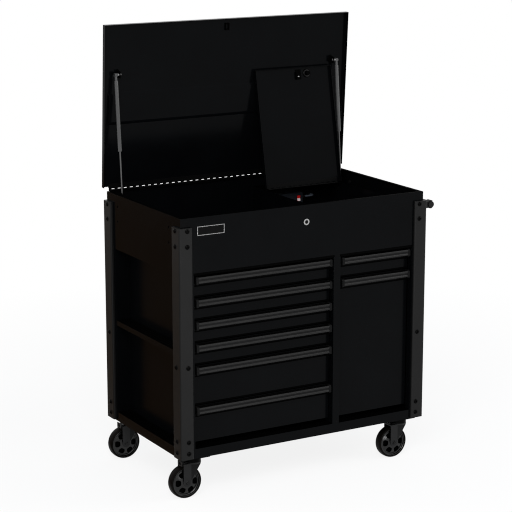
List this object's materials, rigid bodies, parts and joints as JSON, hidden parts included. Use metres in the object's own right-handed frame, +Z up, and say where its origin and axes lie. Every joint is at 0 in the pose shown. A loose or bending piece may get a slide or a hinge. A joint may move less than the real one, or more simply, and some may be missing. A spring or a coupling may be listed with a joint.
{
  "type": "service cart",
  "caption": "Service cart with a lidded tray on gas struts, an inner locked compartment, two columns of drawers, a side bay, push handle and swivel casters.",
  "frame": {"origin": "on the floor, under the middle of the whole cart's box with both lids open", "axes": "+X to the right seen from the front, where the handle is; +Y from front to back; +Z up"},
  "size_m": [1.197, 0.641, 1.7167],
  "materials": {
    "panel_black": "gloss",
    "post_black": "satin",
    "lid_black": "satin",
    "pull_metal": "brushed",
    "zinc": "satin",
    "black_screw": "satin",
    "strut_black": "gloss",
    "rod_bright": "polished",
    "wheel_black": "gloss",
    "strip_black": "gloss",
    "rocker_red": "gloss",
    "badge": "satin"
  },
  "bodies": {
    "cabinet": {"front_frame": "panel_black", "left_side_panel": "panel_black", "right_side_panel": "panel_black", "rear_panel": "panel_black", "tray_floor": "panel_black", "centre_partition": "panel_black", "base_frame": "panel_black", "bay_liner": "panel_black", "bay_shelf": "panel_black", "corner_posts": "post_black", "post_bolts": "black_screw", "push_handle": "post_black", "compartment_walls": "panel_black", "fixed_hinges": "zinc", "strut_pivots": "zinc", "power_strip": "strip_black", "lock_housing": "zinc", "badge_plate": "badge", "drawer_slides": "zinc", "caster_plates": "zinc"},
    "lid": {"lid_panel": "lid_black", "lid_stiffener": "lid_black", "lid_hinge_leaf": "zinc", "lid_fittings": "zinc"},
    "inner_lid": {"inner_lid_panel": "lid_black", "inner_hinge_leaf": "zinc", "inner_lid_latch": "zinc"},
    "lock_cylinder": {"lock_cylinder": "zinc"},
    "latch_bar": {"latch_bar": "zinc"},
    "power_switch": {"power_switch": "rocker_red"},
    "strut_tube_left": {"strut_tube_left": "strut_black"},
    "strut_rod_left": {"strut_rod_left": "rod_bright"},
    "strut_tube_right": {"strut_tube_right": "strut_black"},
    "strut_rod_right": {"strut_rod_right": "rod_bright"},
    "drawer_left_1": {"drawer_left_1": "panel_black", "pull_left_1": "pull_metal"},
    "drawer_left_2": {"drawer_left_2": "panel_black", "pull_left_2": "pull_metal"},
    "drawer_left_3": {"drawer_left_3": "panel_black", "pull_left_3": "pull_metal"},
    "drawer_left_4": {"drawer_left_4": "panel_black", "pull_left_4": "pull_metal"},
    "drawer_left_5": {"drawer_left_5": "panel_black", "pull_left_5": "pull_metal"},
    "drawer_left_6": {"drawer_left_6": "panel_black", "pull_left_6": "pull_metal"},
    "drawer_right_1": {"drawer_right_1": "panel_black", "pull_right_1": "pull_metal"},
    "drawer_right_2": {"drawer_right_2": "panel_black", "pull_right_2": "pull_metal"},
    "fork_left_front": {"fork_left_front": "zinc"},
    "wheel_left_front": {"wheel_left_front": "wheel_black"},
    "fork_left_rear": {"fork_left_rear": "zinc"},
    "wheel_left_rear": {"wheel_left_rear": "wheel_black"},
    "fork_right_front": {"fork_right_front": "zinc"},
    "wheel_right_front": {"wheel_right_front": "wheel_black"},
    "fork_right_rear": {"fork_right_rear": "zinc"},
    "wheel_right_rear": {"wheel_right_rear": "wheel_black"},
    "brake_pedal_left_front": {"brake_pedal_left_front": "zinc"},
    "brake_pedal_left_rear": {"brake_pedal_left_rear": "zinc"}
  },
  "joints": [
    {"name": "lid_hinge", "type": "hinge", "parent": "cabinet", "child": "lid", "pos_m": [-0.038, 0.3085, 1.0757], "axis": [1, 0, 0], "range_deg": [0, 86.63]},
    {"name": "inner_lid_hinge", "type": "hinge", "parent": "cabinet", "child": "inner_lid", "pos_m": [0.2555, 0.195, 1.034], "axis": [1, 0, 0], "range_deg": [0, 101.1]},
    {"name": "strut_left_tilt", "type": "hinge", "parent": "lid", "child": "strut_tube_left", "pos_m": [-0.537, 0.27077, 1.52506], "axis": [1, 0, 0], "range_deg": [-1.19, 0]},
    {"name": "strut_left_slide", "type": "slide", "parent": "strut_tube_left", "child": "strut_rod_left", "axis": [0, 0.0882, 0.9961], "range_m": [0, 0.15277]},
    {"name": "strut_right_tilt", "type": "hinge", "parent": "lid", "child": "strut_tube_right", "pos_m": [0.454, 0.27077, 1.52506], "axis": [1, 0, 0], "range_deg": [-1.19, 0]},
    {"name": "strut_right_slide", "type": "slide", "parent": "strut_tube_right", "child": "strut_rod_right", "axis": [0, 0.0882, 0.9961], "range_m": [0, 0.15277]},
    {"name": "drawer_left_1_slide", "type": "slide", "parent": "cabinet", "child": "drawer_left_1", "axis": [0, -1, 0], "range_m": [0, 0.4]},
    {"name": "drawer_left_2_slide", "type": "slide", "parent": "cabinet", "child": "drawer_left_2", "axis": [0, -1, 0], "range_m": [0, 0.4]},
    {"name": "drawer_left_3_slide", "type": "slide", "parent": "cabinet", "child": "drawer_left_3", "axis": [0, -1, 0], "range_m": [0, 0.4]},
    {"name": "drawer_left_4_slide", "type": "slide", "parent": "cabinet", "child": "drawer_left_4", "axis": [0, -1, 0], "range_m": [0, 0.4]},
    {"name": "drawer_left_5_slide", "type": "slide", "parent": "cabinet", "child": "drawer_left_5", "axis": [0, -1, 0], "range_m": [0, 0.4]},
    {"name": "drawer_left_6_slide", "type": "slide", "parent": "cabinet", "child": "drawer_left_6", "axis": [0, -1, 0], "range_m": [0, 0.4]},
    {"name": "drawer_right_1_slide", "type": "slide", "parent": "cabinet", "child": "drawer_right_1", "axis": [0, -1, 0], "range_m": [0, 0.4]},
    {"name": "drawer_right_2_slide", "type": "slide", "parent": "cabinet", "child": "drawer_right_2", "axis": [0, -1, 0], "range_m": [0, 0.4]},
    {"name": "lock_turn", "type": "hinge", "parent": "cabinet", "child": "lock_cylinder", "pos_m": [-0.038, -0.3055, 1.008], "axis": [0, -1, 0], "range_deg": [0, 90]},
    {"name": "latch_slide", "type": "slide", "parent": "cabinet", "child": "latch_bar", "axis": [1, 0, 0], "range_m": [0, 0.01]},
    {"name": "power_rocker", "type": "hinge", "parent": "cabinet", "child": "power_switch", "pos_m": [0.272, 0.2635, 0.971], "axis": [1, 0, 0], "range_deg": [-8, 8]},
    {"name": "caster_left_front_swivel", "type": "hinge", "parent": "cabinet", "child": "fork_left_front", "pos_m": [-0.501, -0.2593, 0.14], "axis": [0, 0, 1], "continuous": true},
    {"name": "wheel_left_front_spin", "type": "hinge", "parent": "fork_left_front", "child": "wheel_left_front", "pos_m": [-0.535, -0.2593, 0.0635], "axis": [0, 1, 0], "continuous": true},
    {"name": "brake_left_front_press", "type": "hinge", "parent": "fork_left_front", "child": "brake_pedal_left_front", "pos_m": [-0.539, -0.2593, 0.137], "axis": [0, -1, 0], "range_deg": [0, 4]},
    {"name": "caster_left_rear_swivel", "type": "hinge", "parent": "cabinet", "child": "fork_left_rear", "pos_m": [-0.501, 0.2593, 0.14], "axis": [0, 0, 1], "continuous": true},
    {"name": "wheel_left_rear_spin", "type": "hinge", "parent": "fork_left_rear", "child": "wheel_left_rear", "pos_m": [-0.535, 0.2593, 0.0635], "axis": [0, 1, 0], "continuous": true},
    {"name": "brake_left_rear_press", "type": "hinge", "parent": "fork_left_rear", "child": "brake_pedal_left_rear", "pos_m": [-0.539, 0.2593, 0.137], "axis": [0, -1, 0], "range_deg": [0, 4]},
    {"name": "caster_right_front_swivel", "type": "hinge", "parent": "cabinet", "child": "fork_right_front", "pos_m": [0.425, -0.2593, 0.14], "axis": [0, 0, 1], "continuous": true},
    {"name": "wheel_right_front_spin", "type": "hinge", "parent": "fork_right_front", "child": "wheel_right_front", "pos_m": [0.391, -0.2593, 0.0635], "axis": [0, 1, 0], "continuous": true},
    {"name": "caster_right_rear_swivel", "type": "hinge", "parent": "cabinet", "child": "fork_right_rear", "pos_m": [0.425, 0.2593, 0.14], "axis": [0, 0, 1], "continuous": true},
    {"name": "wheel_right_rear_spin", "type": "hinge", "parent": "fork_right_rear", "child": "wheel_right_rear", "pos_m": [0.391, 0.2593, 0.0635], "axis": [0, 1, 0], "continuous": true}
  ],
  "couplings": [
    {"joint": "inner_lid_hinge", "follows": "lid_hinge", "ratio": 1.167},
    {"joint": "strut_left_tilt", "follows": "lid_hinge", "ratio": -0.013721},
    {"joint": "strut_left_slide", "follows": "lid_hinge", "m_per_rad": 0.10104},
    {"joint": "strut_right_tilt", "follows": "lid_hinge", "ratio": -0.013721},
    {"joint": "strut_right_slide", "follows": "lid_hinge", "m_per_rad": 0.10104},
    {"joint": "lock_turn", "follows": "latch_slide", "rad_per_m": 157.08}
  ]
}
